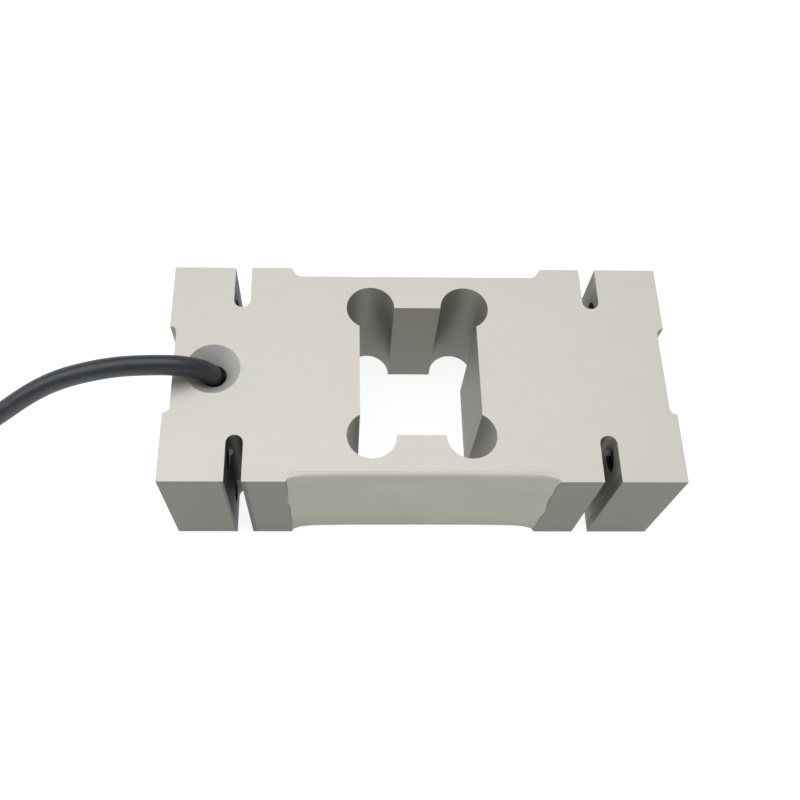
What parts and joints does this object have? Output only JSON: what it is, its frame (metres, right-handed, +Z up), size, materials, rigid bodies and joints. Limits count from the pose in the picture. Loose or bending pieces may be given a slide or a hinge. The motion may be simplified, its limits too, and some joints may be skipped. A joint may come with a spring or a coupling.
{
  "type": "single point load cell",
  "caption": "Single point load cell: machined aluminium beam with a binocular window, potted strain gauge recesses, tapped end pads and a coiled signal cable.",
  "frame": {"origin": "centre of the bottom side face on which the cell lies (the cable and its coil left out)", "axes": "+X along the beam, away from the cable entry; +Y across the beam, from the front gauge face to the rear one; +Z up, out of the side face that the cable leaves"},
  "size_m": [0.3716, 0.0716, 0.053],
  "materials": {
    "machined_aluminium": "fine milled and brushed, bare",
    "silicone_potting": "grey-green silicone, satin",
    "board_laminate": "amber laminate with tinned pads",
    "gauge_foil": "amber film over etched foil",
    "resistor_foil": "dark coated element",
    "tinned_copper": "tinned wire and solder",
    "insulation_red": "satin wire insulation",
    "insulation_black": "satin wire insulation",
    "insulation_green": "satin wire insulation",
    "insulation_white": "satin wire insulation",
    "insulation_clear": "sleeved drain wire",
    "sealing_compound": "dark sealing compound",
    "cable_sheath": "dark grey sheath, soft sheen",
    "tie_nylon": "natural nylon"
  },
  "bodies": {
    "root": {"beam_body": "machined_aluminium", "potting_front": "silicone_potting", "potting_rear": "silicone_potting", "bridge_board_front": "board_laminate", "bridge_board_rear": "board_laminate", "strain_gauge_front_left": "gauge_foil", "strain_gauge_front_right": "gauge_foil", "strain_gauge_rear_left": "gauge_foil", "strain_gauge_rear_right": "gauge_foil", "span_resistor_lower": "resistor_foil", "span_resistor_upper": "resistor_foil", "zero_resistor": "resistor_foil", "gauge_leads_front": "tinned_copper", "gauge_leads_rear": "tinned_copper", "core_red": "insulation_red", "core_black": "insulation_black", "core_green": "insulation_green", "core_white": "insulation_white", "jumper_positive": "insulation_red", "jumper_negative": "insulation_black", "cable_seal": "sealing_compound", "cable_jacket": "cable_sheath", "cable_coil": "cable_sheath", "coil_tie_1": "tie_nylon", "coil_tie_2": "tie_nylon", "lead_red": "insulation_red", "lead_black": "insulation_black", "lead_green": "insulation_green", "lead_white": "insulation_white", "lead_shield": "insulation_clear"}
  },
  "joints": []
}
